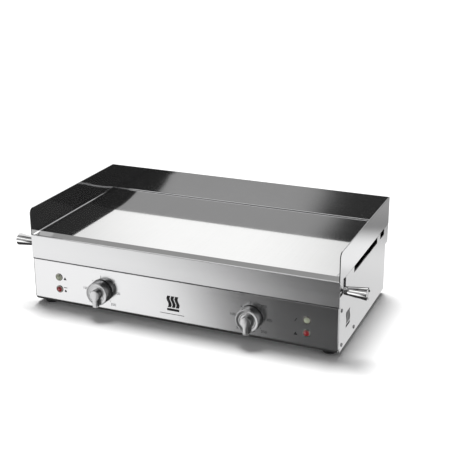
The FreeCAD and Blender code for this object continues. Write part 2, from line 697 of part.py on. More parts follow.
# ---- drip trough, which slides out to the front -----------------------------

def trough_front():
    """Full-width front band of the trough, folded in at top and bottom."""
    low, rear, hem = "seam_height + 0.6", "front_face + thin_sheet", "front_face + 4"
    points = (("front_face", low), ("front_face", "plate_top"), (hem, "plate_top"),
              (hem, "plate_top - thin_sheet"), (rear, "plate_top - thin_sheet"),
              (rear, low + " + thin_sheet"), ("front_face + 14", low + " + thin_sheet"),
              ("front_face + 14", low))
    band = prism("band", "YZ_Plane", points, "body_width", ("-body_width/2", "0", "0"))
    soften(band, "2", corner(0, ("front_face", low), ("front_face", "plate_top")))
    ends = [block("band_end_" + side, on_side(sign, "trough_half", "body_width/2 + 5"),
                  (rear, "front_face + 20"), (low + " - 1", low + " + 5")) for side, sign in SIDES]
    name_node(cut("band_cut", band, *ends), "trough_front")


def trough_pan():
    """Open pan with tall end walls in front and a low rear part that clears the plate's lip."""
    wide = ("-trough_half", "trough_half")
    deep = ("front_face + thin_sheet + 0.1", "trough_back")
    floor = "seam_height + 2.2"
    shell = block("pan_shell", wide, deep, (floor, "side_top - 0.2"))
    room = block("pan_room", (wide[0] + " + trough_sheet", wide[1] + " - trough_sheet"),
                 (deep[0] + " + trough_sheet", deep[1] + " - trough_sheet"),
                 (floor + " + trough_sheet", "side_top + 5"))
    rear = block("pan_rear_cut", ("-body_width", "body_width"), ("end_wall_back", "trough_back + 5"),
                 ("trough_low", "side_top + 5"))
    holes = [rod("pan_hole_" + side, "screw_radius + 0.2", "10",
                 ("%d*(trough_half + 4)" % sign, "handle_line", "handle_height"), "-x" if sign > 0 else "+x")
             for side, sign in SIDES]
    name_node(cut("pan_cut", shell, room, rear, *holes), "trough_pan")


def handle(side, sign):
    """Turned conical handle with a dished end, its stud, and the screw from inside the pan."""
    outward = "+x" if sign > 0 else "-x"
    length = "body_width/2 - trough_half + handle_reach"
    root = "body_width/2 - trough_half + 2"
    bore = "screw_radius + 0.05"
    profile = (
        (bore, "0"), ("stud_radius", "0"), ("stud_radius", root), ("handle_root - 1", root),
        ("handle_root", root + " + 1"), ("handle_tip", length + " - 2"), ("handle_tip - 1.2", length),
        ("handle_tip - 2.4", length), ("handle_tip - 3.4", length + " - 1.4"), ("0", length + " - 2"),
        ("0", "26"), (bore, "26"))
    place = ("%d*trough_half" % sign, "handle_line", "handle_height")
    name_node(turned("cone_" + side, profile, place, outward), "handle_" + side)
    head = "(trough_sheet + 3)"
    screw = (("0", "0"), ("5", "0"), ("5", "2.9"), ("screw_radius", "2.9"), ("screw_radius", head + " + 22"),
             ("0", head + " + 22"))
    start = ("%d*(trough_half - %s)" % (sign, head), "handle_line", "handle_height")
    name_node(turned("handle_screw_body_" + side, screw, start, outward), "handle_screw_" + side)


def runner(side, sign):
    """Angle on the side panel that the trough slides on."""
    outer = "body_width/2 - side_sheet - 0.1"
    span = ("front_face + 23", "trough_back + 10")
    top = "seam_height + 2"
    shelf = block("runner_shelf_" + side, on_side(sign, outer + " - 18", outer), span,
                  (top + " - thin_sheet", top))
    wall = block("runner_wall_" + side, on_side(sign, outer + " - thin_sheet", outer), span,
                 (top + " - 18", top))
    name_node(join("runner_whole_" + side, shelf, wall), "trough_runner_" + side)


front_panel()
back_panel()
rear_channel()
base_pan()
griddle_plate()
splash_guard()
plate_bearers()
heat_shield()
rear_fittings()
trough_front()
trough_pan()
for side, sign in SIDES:
    side_panel(side, sign)
    side_screws(side, sign)
    heating_element(side, sign)
    element_clamp(side, sign)
    thermostat(side, sign)
    sensor(side, sign)
    dial_ring(side, sign)
    knob(side, sign)
    for level in ("upper", "lower"):
        lamp(side, sign, level)
    handle(side, sign)
    runner(side, sign)
    for spot, back in (("front", "foot_front"), ("rear", "foot_back")):
        foot("%s_%s" % (spot, side), "%d*foot_place" % sign, back)

doc.recompute()
for item in doc.Objects:
    assert not {"Invalid", "Error"} & set(item.State), item.Name
os.makedirs("parts", exist_ok=True)
for item in nodes:
    assert not item.Shape.isNull() and item.Shape.isValid(), item.Label
    item.Shape.exportStep("parts/%s.step" % item.Label)
print(len(nodes), "nodes")
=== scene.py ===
# %% [markdown]
# # A counter-top flat top griddle, built on its CAD frame
# The griddle is a folded stainless box. A thick polished plate lies in its top, a three-sided
# splash guard stands around the plate, and a drip trough with two turned handles slides out of
# the front. The CAD model already has the exact place and size of every part, so this lesson
# loads it, gives each metal its finish, and makes smooth versions of the turned and bent parts.
# All lengths are in metres: +X is the operator's right, +Y the rear, and +Z is up.

# %% Load the CAD frame
import math

import bmesh
import bpy
import numpy as np
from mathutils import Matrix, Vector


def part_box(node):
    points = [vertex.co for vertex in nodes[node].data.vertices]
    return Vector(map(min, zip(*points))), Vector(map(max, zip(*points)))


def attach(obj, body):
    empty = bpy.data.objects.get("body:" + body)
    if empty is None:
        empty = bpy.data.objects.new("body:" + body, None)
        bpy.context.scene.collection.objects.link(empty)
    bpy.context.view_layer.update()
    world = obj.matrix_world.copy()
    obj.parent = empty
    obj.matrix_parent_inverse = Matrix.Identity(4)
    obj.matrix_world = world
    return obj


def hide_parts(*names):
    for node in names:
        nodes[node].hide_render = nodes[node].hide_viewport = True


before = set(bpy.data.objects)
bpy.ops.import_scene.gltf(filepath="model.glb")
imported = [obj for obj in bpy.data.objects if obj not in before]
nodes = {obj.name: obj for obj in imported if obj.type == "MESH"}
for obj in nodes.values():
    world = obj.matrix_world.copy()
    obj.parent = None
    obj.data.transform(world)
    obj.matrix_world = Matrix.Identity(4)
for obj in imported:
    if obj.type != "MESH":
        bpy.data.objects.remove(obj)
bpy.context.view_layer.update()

scene = bpy.context.scene
SIDES = (("left", -1), ("right", 1))

# %% [markdown]
# ## The camera
# A product shot of a low box is taken from a little above and to one side, with a long lens so
# that the edges stay nearly parallel. A camera in Blender looks along its own -Z axis. The
# turn order YXZ reads as a photographer works: pan about Z, then tilt about X, then level
# about Y. A small shift keeps the object in the lower left of the frame without turning it.

# %% The camera
camera_data = bpy.data.cameras.new("studio_camera")
camera_data.sensor_width = 36
camera_data.lens = 79.34
camera_data.shift_x = 0.044
camera_data.shift_y = -0.044
camera_data.clip_end = 50
camera = bpy.data.objects.new("studio_camera", camera_data)
camera.location = (0.8403, -1.8697, 0.9210)
camera.rotation_mode = "YXZ"
camera.rotation_euler = [math.radians(angle) for angle in (71.144, 2.195, 21.981)]
scene.collection.objects.link(camera)
scene.camera = camera
print("lens", round(camera_data.lens), "mm, camera", round(camera.location.length, 2), "m from the origin")

# %% [markdown]
# ## Shader maths as plain expressions
# A procedural material is a sum of small number patterns. Wiring every Math node by hand hides
# the idea, so one class wraps a node socket and makes +, - and * add the nodes. `node` makes any
# other node from its type, its settings and the values of its sockets.

# %% A small language for materials


class Value:
    """A node socket that can be used in an expression; each operator adds one Math node."""

    def __init__(self, tree, socket):
        self.tree = tree
        self.socket = socket

    def math(self, operation, *others):
        return self.tree.node("ShaderNodeMath", {"operation": operation}, [self, *others])

    def __add__(self, other):
        return self.math("ADD", other)

    __radd__ = __add__

    def __mul__(self, other):
        return self.math("MULTIPLY", other)

    __rmul__ = __mul__

    def __sub__(self, other):
        return self.math("SUBTRACT", other)

    def __rsub__(self, other):
        return self.tree.node("ShaderNodeMath", {"operation": "SUBTRACT"}, [other, self])

    def clamp(self):
        return self.tree.node("ShaderNodeClamp", {}, [self, 0.0, 1.0])

    def smooth(self, low, high):
        """0 below low, 1 above high, and an S-shaped ramp between them."""
        return self.tree.node("ShaderNodeMapRange", {"interpolation_type": "SMOOTHSTEP"},
                              [self, low, high, 0.0, 1.0])


class Tree:
    """The nodes of one material or world."""

    def __init__(self, owner):
        owner.use_nodes = True
        self.tree = owner.node_tree
        self.tree.nodes.clear()

    def number(self, amount):
        made = self.tree.nodes.new("ShaderNodeValue")
        made.outputs[0].default_value = amount
        return Value(self, made.outputs[0])

    def split(self, vector):
        """The three numbers of a vector."""
        made = self.node("ShaderNodeSeparateXYZ", {}, [vector]).socket.node
        return [Value(self, made.outputs[index]) for index in range(3)]

    def node(self, kind, settings, sockets=(), out=0):
        """One node: settings are its properties, sockets its inputs by number or by name."""
        made = self.tree.nodes.new(kind)
        for key, setting in settings.items():
            setattr(made, key, setting)
        pairs = sockets.items() if isinstance(sockets, dict) else enumerate(sockets)
        for key, given in pairs:
            if isinstance(given, Value):
                self.tree.links.new(given.socket, made.inputs[key])
            elif given is not None:
                made.inputs[key].default_value = given
        return Value(self, made.outputs[out] if made.outputs else None)

    def here(self, scale=(1, 1, 1)):
        """Object coordinates, stretched: the pattern's own ruler, in metres."""
        place = self.node("ShaderNodeTexCoord", {}, (), "Object")
        return self.node("ShaderNodeMapping", {}, {"Vector": place, "Scale": scale})

    def noise(self, vector, scale, detail=3.0, roughness=0.55):
        return self.node("ShaderNodeTexNoise", {"normalize": True},
                         {"Vector": vector, "Scale": scale, "Detail": detail, "Roughness": roughness})

    def mix(self, factor, first, second):
        """Colour between first and second."""
        made = self.node("ShaderNodeMix", {"data_type": "RGBA"}, {0: factor}, 2)
        mixer = made.socket.node
        for socket, given in ((mixer.inputs[6], first), (mixer.inputs[7], second)):
            if isinstance(given, Value):
                self.tree.links.new(given.socket, socket)
            else:
                socket.default_value = (*given, 1.0)
        return made

    def bump(self, height):
        """A bump whose height is in metres."""
        return self.node("ShaderNodeBump", {}, {"Strength": 1.0, "Distance": 1.0, "Height": height})

    def surface(self, **sockets):
        """The Principled shader, wired to the output; names like base_color become Base Color."""
        names = {key.replace("_", " ").title().replace("Ior", "IOR"): given for key, given in sockets.items()}
        shader = self.node("ShaderNodeBsdfPrincipled", {}, names)
        self.node("ShaderNodeOutputMaterial", {}, {"Surface": shader})


def finish(name):
    """A new empty material and its tree."""
    material = bpy.data.materials.new(name)
    return material, Tree(material)


print("shader helpers ready")

# %% [markdown]
# ## The studio
# Polished steel has no colour of its own: it shows the room. So the room is made first. The
# world gives one even white light to matt things, and a set of soft cards to mirrors. A card is
# a window in azimuth and elevation, and its edges are smooth ramps. That keeps the reflections
# free of noise, and the cards never get in the way of another camera.

# %% The studio's cards
world = bpy.data.worlds.new("studio")
scene.world = world
studio = Tree(world)
ray = studio.node("ShaderNodeTexCoord", {}, (), "Generated")
along_x, along_y, along_z = studio.split(ray)
# degrees from straight ahead (+Y), growing to the right, and degrees above the horizon
azimuth = along_x.math("ARCTAN2", along_y) * math.degrees(1)
elevation = along_z.math("ARCSINE") * math.degrees(1)


def card(middle, half, low, high, soft, brightness):
    """Window on the sky: full within half of middle, gone at half + soft, between two heights."""
    turn = (azimuth - middle).math("WRAP", 180.0, -180.0).math("ABSOLUTE")
    across = 1 - turn.smooth(half, half + soft)
    up = elevation.smooth(low - soft / 2, low + soft / 2) - elevation.smooth(high - soft / 2, high + soft / 2)
    return across * up * brightness


# name: middle, half width, lowest, highest, softness, brightness
CARDS = {
    "rear left, above": (-24, 2, 8, 60, 20, 1.12),
    "rear left, wide": (-60, 36, 0, 62, 10, 0.90),
    "front left, above": (-142, 20.2, 4, 30, 1.6, 0.50),
    "front left, line": (-142, 22, 29, 43, 1.6, 1.60),
    "front left, high": (-142, 26, 42, 76, 2.0, 0.34),
    "front left, below": (-134, 20, -36, -4, 7, 1.42),
    "front": (176, 20, -66, -20, 6, 0.10),
    "front, straight": (180, 8, -12, 14, 3, 0.55),
    "rear right, bright": (24, 16, -22.8, -20.2, 1.6, 1.15),
    "rear right, below": (24, 24, -62, -20.6, 2.0, 0.90),
    "rear right, level": (24, 24, -20.6, -6, 5.0, 0.42),
    "rear right, high": (24, 30, 28, 62, 4.0, 0.80),
    "right": (96, 34, -30, 60, 12, 0.80),
    "left": (-92, 20, 0, 60, 12, 0.85),
    "overhead": (0, 181, 76, 120, 8, 1.50),
}
light = studio.number(0.045)
for name, numbers in CARDS.items():
    light = card(*numbers).math("MAXIMUM", light)
path = studio.node("ShaderNodeLightPath", {}, (), "Is Camera Ray")
mirrored = Value(studio, path.socket.node.outputs["Is Glossy Ray"])
AMBIENT = 0.26
matt = path * (1 - AMBIENT) + AMBIENT
strength = mirrored * light + (1 - mirrored) * matt
room = studio.node("ShaderNodeBackground", {}, {"Color": (1.0, 1.0, 1.0, 1), "Strength": strength})
studio.node("ShaderNodeOutputWorld", {}, {"Surface": room})
scene.view_settings.view_transform = "Standard"
print(len(CARDS), "cards in the studio")

# %% [markdown]
# ## Floor and key light
# The griddle stands on a plain pale table. The table isn't shown to reflections, because the
# cards already say what the steel sees there. A wide sun from above and behind pulls the soft
# shadow towards the front, and the world fills it.

# %% The floor and the key light
REACH = 12.0
floor_mesh = bpy.data.meshes.new("table")
floor_mesh.from_pydata([(-REACH, -REACH, 0), (REACH, -REACH, 0), (REACH, REACH, 0), (-REACH, REACH, 0)],
                       [], [(0, 1, 2, 3)])
table = bpy.data.objects.new("table", floor_mesh)
scene.collection.objects.link(table)
table_finish, tree = finish("pale_table")
tree.surface(base_color=(0.93, 0.93, 0.93, 1), roughness=0.9, specular_ior_level=0.0)
floor_mesh.materials.append(table_finish)
table.visible_glossy = False

key_data = bpy.data.lights.new("key", "SUN")
key_data.angle = math.radians(26)
key_data.energy = 3.6
key = bpy.data.objects.new("key", key_data)
key.rotation_euler = (math.radians(-15), math.radians(-10), 0)
key.visible_glossy = False
scene.collection.objects.link(key)
print("floor", 2 * REACH, "m wide, key", key_data.energy)

# %% [markdown]
# ## Finishes: rolled and brushed steel
# Sheet steel is rolled, then brushed or polished, and every step leaves its trace. Brushing
# leaves thousands of short lines in one direction, so noise is stretched 300 times along that
# direction. Handling leaves smudges, which are larger and softer and change the gloss more than
# the colour. A sheet is never quite flat either, so a very shallow wave bends its reflections.
# The patterns read Object coordinates, in metres, so they don't stretch with a part's size.

# %% The steel recipe
FINISHES = {}
STREAK_DEPTH = 0.00002


def steel(slot, tint, rough, grain, smudge, wave=0.0, lines=(3, 3, 900)):
    """Steel finish: tint (r, g, b), base roughness, depth of the brushing, of the smudges and of the wave."""
    material, tree = finish(slot + "_look")
    streaks = tree.noise(tree.here(lines), 1.0, 4.0, 0.7)
    clouds = tree.noise(tree.here((1, 1, 1.6)), 9.0, 4.0, 0.6)
    dull = (streaks - 0.5) * grain * 2 + (clouds - 0.5) * smudge * 2
    shade = (streaks * 0.5 + clouds * 0.5).clamp()
    colour = tree.mix(shade, [part * 0.93 for part in tint], [min(part * 1.06, 1) for part in tint])
    bend = tree.noise(tree.here((1, 1, 1)), 2.2, 0.0)
    height = streaks * (grain * STREAK_DEPTH) + bend * wave
    normal = tree.bump(height)
    tree.surface(base_color=colour, metallic=1.0, roughness=(dull + rough).clamp(), normal=normal)
    FINISHES[slot] = material


steel("satin_steel", (0.64, 0.64, 0.645), 0.20, grain=0.03, smudge=0.03, wave=0.0002)
steel("guard_steel", (0.63, 0.63, 0.635), 0.075, grain=0.012, smudge=0.02)
steel("plate_steel", (0.82, 0.82, 0.815), 0.06, grain=0.006, smudge=0.018, lines=(300, 4, 4))
steel("trough_steel", (0.62, 0.62, 0.625), 0.22, grain=0.025, smudge=0.03, wave=0.0002)
steel("inner_steel", (0.50, 0.50, 0.51), 0.36, grain=0.08, smudge=0.08)
steel("element_sheath", (0.20, 0.20, 0.21), 0.42, grain=0.05, smudge=0.12, lines=(60, 500, 60))
steel("sensor_copper", (0.72, 0.40, 0.28), 0.30, grain=0.05, smudge=0.12)
print(len(FINISHES), "sheet finishes")

# %% [markdown]
# ## Finishes: turned metal
# A knob, a handle or a screw head is cut on a lathe, and the tool leaves fine rings round its
# axis. Each turned piece below carries its own UV map, with the distance along the profile in
# its second number, so noise along that number alone draws rings wherever the piece stands.

# %% The turned metal recipe
TOOL_MARKS = 9000.0
RING_DEPTH = 0.00003


def turned_metal(slot, tint, rough, rings, smudge=0.04):
    """Metal with fine rings: noise of the second UV number, plus smudges in Object coordinates."""
    material, tree = finish(slot + "_look")
    marks = tree.node("ShaderNodeTexCoord", {}, (), "UV")
    ring = tree.noise(tree.node("ShaderNodeMapping", {}, {"Vector": marks, "Scale": (0.0, TOOL_MARKS, 0.0)}),
                      1.0, 2.0, 0.6)
    clouds = tree.noise(tree.here(), 60.0, 3.0, 0.6)
    dull = (ring - 0.5) * rings * 2 + (clouds - 0.5) * smudge * 2
    colour = tree.mix(clouds, [part * 0.9 for part in tint], [min(part * 1.07, 1) for part in tint])
    normal = tree.bump(ring * (rings * RING_DEPTH))
    tree.surface(base_color=colour, metallic=1.0, roughness=(dull + rough).clamp(), normal=normal)
    FINISHES[slot] = material


turned_metal("handle_steel", (0.80, 0.80, 0.80), 0.07, rings=0.02)
turned_metal("knob_metal", (0.52, 0.52, 0.525), 0.22, rings=0.06)
turned_metal("bezel_chrome", (0.36, 0.35, 0.32), 0.14, rings=0.02)
turned_metal("stud_brass", (0.80, 0.60, 0.28), 0.25, rings=0.05)
turned_metal("screw_steel", (0.45, 0.45, 0.46), 0.22, rings=0.05)
print("turned finishes ready")

# %% [markdown]
# ## Finishes: rubber, plastic, ceramic and glassy lenses
# Matt things scatter the light, so their colour does the work and the pattern is a fine grain.
# A lens is a moulded cap of plastic with a lacquer-like gloss, so it's a deep colour under a
# clear coat. Black ink and the dial rings get only a weak gloss, which keeps them dark.

# %% The moulded recipe


def moulded(slot, colour, rough, spread=0.25, grain=2000.0, depth=0.00002, **extra):
    """Moulded or fired part: colour with a soft cloud of lighter wear, and a fine grain in the bump."""
    material, tree = finish(slot + "_look")
    fine = tree.noise(tree.here(), grain, 2.0, 0.6)
    clouds = tree.noise(tree.here(), 45.0, 4.0, 0.6)
    lighter = [min(part * (1 + spread) + 0.012, 1) for part in colour]
    shade = tree.mix((clouds * 0.7 + fine * 0.3).clamp(), colour, lighter)
    tree.surface(base_color=shade, roughness=(clouds * 0.12 + (rough - 0.06)).clamp(),
                 normal=tree.bump(fine * depth), **extra)
    FINISHES[slot] = material


moulded("foot_rubber", (0.014, 0.014, 0.015), 0.62)
moulded("ring_black", (0.014, 0.014, 0.015), 0.50, specular_ior_level=0.2)
moulded("gland_plastic", (0.035, 0.035, 0.038), 0.48)
moulded("control_ceramic", (0.62, 0.59, 0.54), 0.70, spread=0.1)
moulded("lens_clear", (0.24, 0.26, 0.19), 0.10, spread=1.2, grain=500.0, depth=0.0001, coat_weight=1.0)
moulded("lens_red", (0.18, 0.008, 0.010), 0.10, spread=1.4, grain=500.0, depth=0.0001, coat_weight=1.0)

for node in nodes.values():
    for index, slot in enumerate(node.data.materials):
        node.data.materials[index] = FINISHES[slot.name.split(".")[0]]
print(len(FINISHES), "finishes on", len(nodes), "nodes")

# %% [markdown]
# ## Shapes from numbers
# Every piece below is a grid of points: one number runs round a ring, the other along a path.
# `loft` joins rings into a closed skin with a flat cap at each end, and `lathe` turns a profile
# about an axis. Both work on whole arrays, so a thousand points cost one line. `piece` welds
# the doubled points, turns the faces outwards and hands the result to its CAD body.

# %% Grids, lofts and turned shapes


def cells(rows, columns):
    """Corner numbers of each four-sided cell in a grid of rows x columns points."""
    row, column = np.meshgrid(np.arange(rows - 1), np.arange(columns - 1), indexing="ij")
    first = row * columns + column
    return np.stack([first, first + columns, first + columns + 1, first + 1], axis=-1).reshape(-1, 4)


def loft(rings):
    """Closed skin over rings (stations, points, 3); the first point of a ring follows its last."""
    rings = np.concatenate([rings, rings[:, :1]], axis=1)
    stations, around, _ = rings.shape
    along = np.linalg.norm(np.diff(rings[:, 0], axis=0), axis=1)
    along = np.concatenate([[0.0], np.cumsum(along)])
    marks = np.stack(np.broadcast_arrays(np.linspace(0, 1, around)[None, :], along[:, None]), axis=-1)
    faces = cells(stations, around).tolist()
    faces.append(list(range(around - 1)))
    faces.append([(stations - 1) * around + index for index in range(around - 1)])
    return rings.reshape(-1, 3), faces, marks.reshape(-1, 2)


def lathe(profile, centre, axis, steps=64, flutes=None, ring=False):
    """Profile (radius, height) turned about an axis: centre + height * axis + radius * spoke(angle).

    flutes is (share of each profile point, factor of each angle): the radius is multiplied by
    1 + share * (factor - 1). A profile ends on the axis, or with ring it is a closed loop.
    """
    profile = np.array(profile, float)
    if ring:
        profile = np.concatenate([profile, profile[:1]])
    axis = np.array(axis, float)
    side = np.cross(axis, (0.0, 0.0, 1.0)) if abs(axis[2]) < 0.9 else np.array((1.0, 0.0, 0.0))
    side /= np.linalg.norm(side)
    angle = np.linspace(0, 2 * math.pi, steps + 1)
    spoke = np.cos(angle)[:, None] * side + np.sin(angle)[:, None] * np.cross(axis, side)
    radius = np.repeat(profile[:, :1], steps + 1, axis=1)
    if flutes:
        share, factor = np.array(flutes[0], float), flutes[1](angle)
        if ring:
            share = np.concatenate([share, share[:1]])
        radius = radius * (1 + share[:, None] * (factor[None, :] - 1))
    points = np.array(centre, float) + profile[:, 1, None, None] * axis + radius[..., None] * spoke
    length = np.concatenate([[0.0], np.cumsum(np.linalg.norm(np.diff(profile, axis=0), axis=1))])
    marks = np.stack(np.broadcast_arrays(angle[None, :] / (2 * math.pi), length[:, None]), axis=-1)
    return points.reshape(-1, 3), cells(len(profile), steps + 1).tolist(), marks.reshape(-1, 2)


def rounded(corners, radii, steps=6):
    """Open line through corners, with each inner corner replaced by an arc that touches both runs."""
    corners = np.array(corners, float)
    runs = [corners[:1]]
    for before, here, after, radius in zip(corners[:-2], corners[1:-1], corners[2:], radii):
        arrive = (here - before) / np.linalg.norm(here - before)
        leave = (after - here) / np.linalg.norm(after - here)
        bend = math.atan2(arrive[0] * leave[1] - arrive[1] * leave[0], arrive @ leave)
        start = here - arrive * radius * math.tan(abs(bend) / 2)
        centre = start + math.copysign(radius, bend) * np.array([-arrive[1], arrive[0]])
        turn = np.linspace(0, bend, steps + 1)
        spoke = start - centre
        runs.append(centre + np.stack([spoke[0] * np.cos(turn) - spoke[1] * np.sin(turn),
                                       spoke[0] * np.sin(turn) + spoke[1] * np.cos(turn)], axis=-1))
    runs.append(corners[-1:])
    return np.concatenate(runs)


WELD = 2e-7


def piece(name, body, slot, stands_for, *shapes, sharp=32):
    """One mesh from (points, faces, marks) shapes, welded, facing outwards, riding on a CAD body."""
    points, faces, marks, start = [], [], [], 0
    for shape_points, shape_faces, shape_marks in shapes:
        points.append(shape_points)
        marks.append(shape_marks)
        faces += [[corner + start for corner in face] for face in shape_faces]
        start += len(shape_points)
    mesh = bpy.data.meshes.new(name)
    mesh.from_pydata(np.concatenate(points).tolist(), [], faces)
    corner_points = np.zeros(len(mesh.loops), np.int32)
    mesh.loops.foreach_get("vertex_index", corner_points)
    layer = mesh.uv_layers.new(name="marks")
    layer.uv.foreach_set("vector", np.concatenate(marks)[corner_points].ravel())
    skin = bmesh.new()
    skin.from_mesh(mesh)
    bmesh.ops.remove_doubles(skin, verts=skin.verts, dist=WELD)
    bmesh.ops.dissolve_degenerate(skin, dist=WELD, edges=skin.edges)
    bmesh.ops.recalc_face_normals(skin, faces=skin.faces)
    open_edges = sum(1 for edge in skin.edges if len(edge.link_faces) != 2)
    skin.to_mesh(mesh)
    skin.free()
    mesh.shade_smooth()
    mesh.set_sharp_from_angle(angle=math.radians(sharp))
    made = bpy.data.objects.new(name, mesh)
    scene.collection.objects.link(made)
    mesh.materials.append(FINISHES[slot])
    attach(made, body)
    if stands_for:
        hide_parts(*stands_for)
    print(name, len(mesh.polygons), "faces,", open_edges, "open edges")
    return made


MM = 0.001
print("shape helpers ready")

# %% [markdown]
# ## The splash guard
# One sheet is bent up round the back and both sides, and its foot is bent in again over the
# plate's edge. The small inside bend at the foot is what draws the thin light line round the
# plate, so it needs a true arc. The wall's section is one closed ring of points, and the ring
# is set down at each corner of a U-shaped path. At a corner the ring's inset is taken off both
# X and Y, which makes a clean mitre.

# %% The splash guard's section and path
guard_low, guard_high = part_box("splash_guard")
plate_low, plate_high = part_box("griddle_plate")
WALL, BEND, CORNER = 2 * MM, 3 * MM, 12 * MM
RIM = 0.35 * MM
PLATE_BEVEL = 7.6 * MM
ledge_side, ledge_rear = 15.8 * MM, 9.8 * MM
top, seat, foot = guard_high.z, plate_high.z, guard_low.z

height_steps = top - CORNER * (1 - np.cos(np.linspace(0, math.pi / 2, 9)))[1:]
inner_wall = [(WALL - RIM, top), (WALL, top - RIM)] + [(WALL, z) for z in height_steps]
arc = np.linspace(0, math.pi / 2, 8)
bend = np.stack([WALL + BEND * (1 - np.cos(arc)), seat + BEND * (1 - np.sin(arc))], axis=-1)
inner_side = np.array(inner_wall + bend.tolist() + [(ledge_side, seat)])
outer_side = np.array([(ledge_side, foot), (0, foot)] + [(0, z) for z in height_steps[::-1]]
                      + [(0, top - RIM), (RIM, top)])
section = np.concatenate([inner_side, outer_side])
# in front of the plate the wall has no bend and no ledge: those points gather at its lower edge
below = section[:, 1] < seat + BEND + 0.1 * MM
front = section.copy()
front[below, 1] = seat + 0.4 * MM
front[below & (front[:, 0] > 0), 0] = WALL


def guard_ring(inset, lean_x, y, mitre):
    """The section at one station: x = side wall - inset, y fixed, or back wall - inset at a corner."""
    x = lean_x * (guard_high.x - inset[:, 0])
    rear_inset = np.minimum(inset[:, 0], ledge_rear)
    back = guard_high.y - rear_inset if mitre else np.broadcast_to(y, inset[:, 0].shape)
    return np.stack([x, back, inset[:, 1]], axis=-1)


rise = np.clip((front[:, 1] - (top - CORNER)) / CORNER, 0, 1)
front_edge = guard_low.y + CORNER * (1 - np.sqrt(1 - rise ** 2))
plate_edge = plate_low.y + PLATE_BEVEL
left_run = [guard_ring(front, -1, front_edge, False), guard_ring(front, -1, plate_edge - 0.05 * MM, False),
            guard_ring(section, -1, plate_edge + 0.05 * MM, False), guard_ring(section, -1, 0, True)]
right_run = [ring * (-1, 1, 1) for ring in left_run[::-1]]
piece("guard_sheet", "housing", "guard_steel", ["splash_guard"], loft(np.array(left_run + right_run)))

# %% [markdown]
# ## The control panel
# The front sheet is folded back at its top, at its foot and at both ends. Its outline in plan is
# a rectangle with small round corners, and moving inwards by t gives a smaller rectangle with
# corner radius max(radius - t, 0). So one profile of (inset, height) pairs, run round that
# outline, makes the face, the wide bend at the foot and both folded ends in one surface.

# %% The control panel's surface
SHEET, END_BEND, FOOT_BEND = 1.5 * MM, 4 * MM, 10 * MM
face_y, panel_top, panel_foot = guard_low.y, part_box("front_panel")[1].z, 10 * MM
RETURN, FLANGE = 9 * MM, 20 * MM
outer_line = rounded([(FLANGE, panel_top), (0, panel_top), (0, panel_foot), (FLANGE, panel_foot)],
                     [0.8 * MM, FOOT_BEND], 8)
inner_line = rounded([(FLANGE, panel_foot + SHEET), (SHEET, panel_foot + SHEET), (SHEET, panel_top - SHEET),
                      (FLANGE, panel_top - SHEET)], [FOOT_BEND - SHEET, 0.2 * MM], 8)
profile = np.concatenate([outer_line, inner_line])


def panel_ring(across, back, spoke_x, spoke_y):
    """The profile at one station of the outline's corner, whose spoke points outwards."""
    inset, height = profile[:, 0], profile[:, 1]
    shrunk = np.maximum(END_BEND - inset, 0)
    reach = np.maximum(END_BEND, inset)
    x = math.copysign(1, across) * (abs(across) - reach + shrunk * abs(spoke_x))
    y = face_y + reach - shrunk * spoke_y
    if back is not None:
        y = np.maximum(np.full_like(inset, back), y)
    return np.stack([x, y, height], axis=-1)


half = guard_high.x
turn = np.linspace(0, math.pi / 2, 7)
left_end = [panel_ring(-half, face_y + RETURN, 1, 0)]
left_end += [panel_ring(-half, None, math.cos(a), math.sin(a)) for a in turn]
right_end = [ring * (-1, 1, 1) for ring in left_end[::-1]]
piece("control_panel", "housing", "satin_steel", ["front_panel"], loft(np.array(left_end + right_end)))

# %% [markdown]
# ## The trough's front band
# The band above the panel is the front of the trough. It's the same kind of folded sheet, but it
# is straight, so a closed section carried along X is enough. Its lower fold stops short of the
# side panels, so at the two ends the fold's points gather at the sheet.

# %% The trough's front band
band_low, band_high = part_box("trough_front")
HEM, FOLD = 4 * MM, 14 * MM
y0, low, high = band_low.y, band_low.z, band_high.z
outside = rounded([(FOLD, low), (0, low), (0, high), (HEM, high)], [2 * MM, 1.2 * MM], 6)
inside = rounded([(HEM, high - SHEET), (SHEET, high - SHEET), (SHEET, low + SHEET), (FOLD, low + SHEET)],
                 [0.2 * MM, 0.5 * MM], 4)
band = np.concatenate([outside, inside])
short = band.copy()
short[(band[:, 1] < low + 4 * MM) & (band[:, 0] > SHEET), 0] = SHEET
pan_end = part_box("trough_pan")[1].x
stations = [(-half, short), (-pan_end, short), (-pan_end + 0.1 * MM, band)]
stations += [(-x, shape) for x, shape in stations[::-1]]
rings = [np.stack([np.full(len(shape), x), y0 + shape[:, 0], shape[:, 1]], axis=-1) for x, shape in stations]
piece("trough_band", "drip_trough", "trough_steel", ["trough_front"], loft(np.array(rings)))

# %% [markdown]
# ## The handles
# Each handle is a cone turned from bar, thin at its root and flared to a dished end with a
# bright rim. A handful of (radius, height) points with small arcs between them gives the
# profile, and the lathe does the rest.

# %% The handles
for side, sign in SIDES:
    low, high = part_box("handle_" + side)
    root = high.x if sign < 0 else low.x
    tip = low.x if sign < 0 else high.x
    length = abs(tip - root)
    small, large = 8.5 * MM, (high.z - low.z) / 2
    shape = rounded([(0, 2 * MM), (4 * MM, 2 * MM), (4 * MM, 4.5 * MM), (small, 4.5 * MM),
                     (large, length - 1.2 * MM), (large - 1.4 * MM, length), (large - 2.6 * MM, length),
                     (large - 4 * MM, length - 2.4 * MM), (0, length - 4.2 * MM)],
                    [0.01 * MM, 0.3 * MM, 1.0 * MM, 0.8 * MM, 0.5 * MM, 0.5 * MM, 1.5 * MM], 5)
    centre = (root, (low.y + high.y) / 2, (low.z + high.z) / 2)
    piece("handle_grip_" + side, "drip_trough", "handle_steel", ["handle_" + side],
          lathe(shape, centre, (sign, 0, 0), 72))

